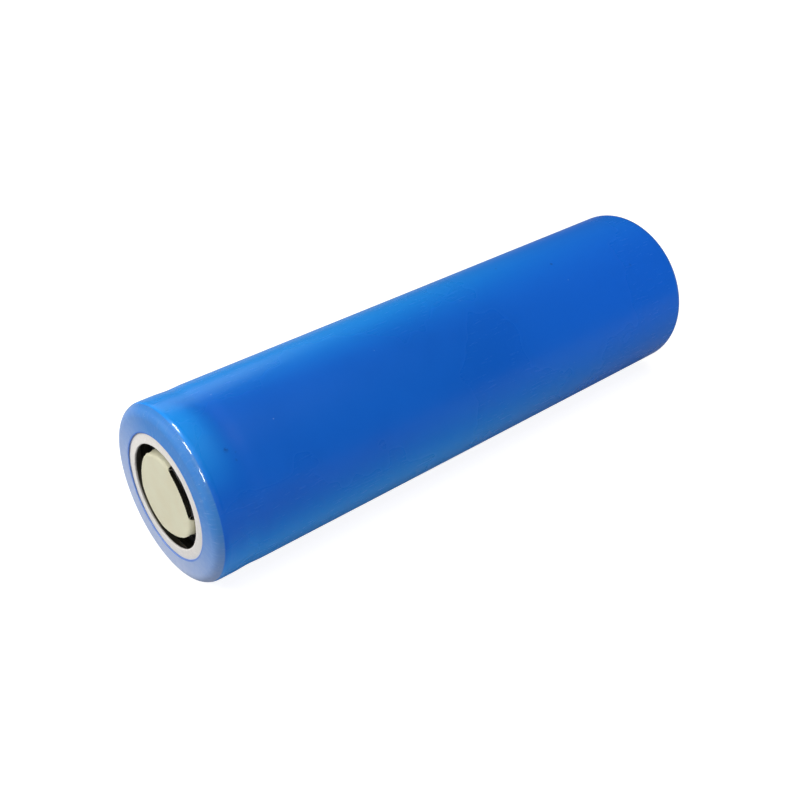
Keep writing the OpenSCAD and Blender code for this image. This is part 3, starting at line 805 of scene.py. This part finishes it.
# ---------------------------------------------------------------- can
def can():
    segments = 192
    wall = 0.25
    bottom_bend = SLEEVE_BEND - SLEEVE_T    # concentric with the sleeve's bend
    shoulder = 1.0
    lip_y = Y_WASHER + WASHER_T             # outer face of the crimped lip
    inside_y = Y_CAN - wall
    blend, bead, depth = 0.7, 0.6, 1.25     # groove: radius of its edges and floor, its depth
    across = bead + blend - depth
    rise = math.sqrt((bead + blend) ** 2 - across ** 2)
    turn = math.degrees(math.atan2(rise, across))

    def wall_path(d):
        """The wall from the bottom to the lip, d inside the outer surface."""
        blend_r = CAN_R - blend
        path = arc(CAN_R - bottom_bend, Y_CAN - bottom_bend, bottom_bend - d, 90, 0, 10)
        path += arc(blend_r, Y_GROOVE + rise, blend - d, 0, -turn, 8)
        path += arc(CAN_R - depth + bead, Y_GROOVE, bead + d, 180 - turn, 180 + turn, 16)[1:-1]
        path += arc(blend_r, Y_GROOVE - rise, blend - d, turn, 0, 8)
        path += arc(CAN_R - shoulder, lip_y + shoulder, shoulder - d, 0, -90, 10)
        return path

    pad = [(r, Y_PAD) for r in (0.25, 0.5, 0.75, 1.0, 1.3, 1.7, 2.2, 2.8, 3.5, 4.2, 4.9,
                                5.2, 5.5, 5.8, 6.1, 6.3, 6.44)]
    rim = [(6.5, Y_PAD - 0.01), (6.56, Y_CAN + 0.01), (6.62, Y_CAN), (7.0, Y_CAN), (7.5, Y_CAN)]
    lip = arc(6.7 + wall / 2, lip_y + wall / 2, wall / 2, -90, -270, 8)
    inside = [(r, inside_y) for r in (7.0, 5.0, 3.0, 1.0, 0.25)]
    profile = pad + rim + wall_path(0) + lip + wall_path(wall)[::-1] + inside

    def shape(r, y, angle, i):
        if i >= len(pad):
            return r, y
        # two weld dimples in the middle, a faint pressed ring and a slight unevenness
        x, z = r * math.cos(angle), r * math.sin(angle)
        sink = 0.0
        for dimple_x, dimple_z in ((-0.55, 0.1), (0.55, -0.1)):
            sink += 0.035 * math.exp(-((x - dimple_x) ** 2 + (z - dimple_z) ** 2) / 0.12)
        sink += 0.012 * math.exp(-((r - 5.5) / 0.35) ** 2)
        sink += 0.004 * (1 + noise.noise(Vector((x * 0.4, z * 0.4, 5.0))))
        return r, y - sink

    poles = ((0.0, Y_PAD - 0.02, 0.0), (0.0, inside_y, 0.0))
    shell = turned("can_shell", profile, segments, shape, poles)
    finish_piece(shell, "nickel_plated_can", "cell_can")


sleeve()
washer()
cap()
can()

# smooth the carried-over nodes' curved faces without touching their vertices
for ob in frame["nodes"].values():
    if not ob.hide_render:
        shade_smooth(ob.data, sharp_degrees=28)


# ---------------------------------------------------------------- stage
def floor():
    half, z = 3000.0, -SLEEVE_R
    ob = make_object("floor", [(-half, -half, z), (half, -half, z), (half, half, z),
                               (-half, half, z)], [(0, 1, 2, 3)], smooth=False)
    m = Mat("pale_floor")
    cloud = m.noise(scale=0.004, detail=3)
    fine = m.noise(scale=0.9, detail=4)
    col = m.over((0.35, 0.35, 0.355), m.remap(cloud, span=(0.3, 0.7)), (0.39, 0.39, 0.39))
    # the camera sees the sheet white, but it lights the cell more softly than it looks
    camera_ray = m.node("LightPath")["Is Camera Ray"]
    ob.data.materials.append(m.finish(
        color=col, rough=m.remap(fine, span=(0.3, 0.7), to=(0.75, 0.9)),
        normal=m.bump(fine, strength=0.05, depth=0.02), spec=0.2,
        glow=(1.0, 1.0, 1.0), glow_strength=m.mul(camera_ray, 0.88)))


def area(name, place, target, size, watts, size_y=None, glossy=True, receivers=None):
    light = bpy.data.lights.new(name, "AREA")
    light.shape = "RECTANGLE" if size_y else "SQUARE"
    light.size = size * MM
    if size_y:
        light.size_y = size_y * MM
    light.energy = watts
    light.spread = math.radians(180)
    ob = bpy.data.objects.new(name, light)
    bpy.context.scene.collection.objects.link(ob)
    ob.location = Vector(place) * MM
    aim = Vector(target) * MM - ob.location
    ob.rotation_euler = aim.to_track_quat("-Z", "Y").to_euler()
    ob.visible_camera = False
    ob.visible_glossy = glossy
    if receivers:
        ob.light_linking.receiver_collection = receivers
    return ob


def receiver(name, object_name):
    """A collection that limits a lamp to one object."""
    group = bpy.data.collections.new(name)
    group.objects.link(bpy.data.objects[object_name])
    return group


def glint_lamps():
    """Three small lamps glint on the sleeve's shoulder, and light nothing else."""
    group = receiver("glint_receivers", "sleeve_film")
    target = (0, -31, 5)
    to_camera = Vector((0.635, -0.541, 0.551))
    directions = ((-0.30, -0.20, 0.93), (0.10, -0.566, 0.818), (0.519, -0.664, 0.538))
    for k, direction in enumerate(directions):
        lamp = area(f"lamp_{k}", place=[300 * c for c in direction], target=target, size=70,
                    size_y=40, watts=0.62, receivers=group)
        # its long side follows the shoulder's rim, so the glint is a thin streak
        normal = (Vector(direction).normalized() + to_camera).normalized()
        tangent = Vector((0, 1, 0)).cross(normal)
        streak = tangent.dot(to_camera) * normal + normal.dot(to_camera) * tangent
        z_axis = (lamp.location - Vector(target) * MM).normalized()
        x_axis = streak.cross(z_axis).normalized().cross(z_axis) * -1
        turn = Matrix((x_axis, z_axis.cross(x_axis), z_axis)).transposed()
        lamp.rotation_euler = turn.to_euler()
        lamp.visible_diffuse = False


def lights():
    near_middle, middle = (0, -2, 0), (0, 0, 0)
    area("key_top", (120, -60, 380), near_middle, size=240, watts=0.74, glossy=False)
    area("key_side", (400, -60, 60), near_middle, size=240, watts=0.74, glossy=False)
    area("rim", (-280, 60, 160), middle, size=160, watts=0.07)
    area("front", (-130, -190, 110), (-20, -50, -6), size=110, watts=0.55, glossy=False)
    # the plated bottom faces away from most of the other lamps
    group = receiver("pad_receivers", "can_shell")
    for k, place in enumerate(((120, 230, 70), (-60, 260, 160))):
        area(f"pad_{k}", place, (0, 32, 0), size=150, watts=0.6, receivers=group)
    glint_lamps()


def world():
    """White to the camera; otherwise a soft light, stronger from the positive end's side."""
    studio = bpy.data.worlds.new("studio")
    bpy.context.scene.world = studio
    w = Nodes(studio)
    white = (1, 1, 1)
    direction_y = w.node("SeparateXYZ", {0: w.node("TexCoord")["Generated"]})[1]
    strength = w.node("MapRange", {0: direction_y, 1: 0.6, 2: -0.6, 3: 0.05, 4: 0.30})[0]
    soft = w.node("Background", {"Color": white, "Strength": strength})[0]
    seen = w.node("Background", {"Color": white})[0]
    camera_ray = w.node("LightPath")["Is Camera Ray"]
    mixed = w.node("MixShader", {0: camera_ray, 1: soft, 2: seen})[0]
    w.node("OutputWorld", {0: mixed})


def camera():
    azimuth, elevation = math.radians(49.578), math.radians(33.423)
    distance, shift_right, shift_up = 125.194, -2.787, -2.55
    back = Vector((math.sin(azimuth) * math.cos(elevation),
                   -math.cos(azimuth) * math.cos(elevation), math.sin(elevation)))
    right = Vector((math.cos(azimuth), math.sin(azimuth), 0.0))
    up = back.cross(right)
    data = bpy.data.cameras.new("camera")
    data.sensor_width = 36.0
    data.lens = 52.0641
    data.clip_start = 0.002
    data.clip_end = 20.0
    ob = bpy.data.objects.new("camera", data)
    bpy.context.scene.collection.objects.link(ob)
    place = (back * distance + right * shift_right + up * shift_up) * MM
    turn = Matrix((right, up, back)).transposed().to_4x4()
    ob.matrix_world = Matrix.Translation(place) @ turn
    bpy.context.scene.camera = ob


floor()
lights()
world()
camera()

view = bpy.context.scene.view_settings
view.view_transform = "Standard"
view.look = "None"
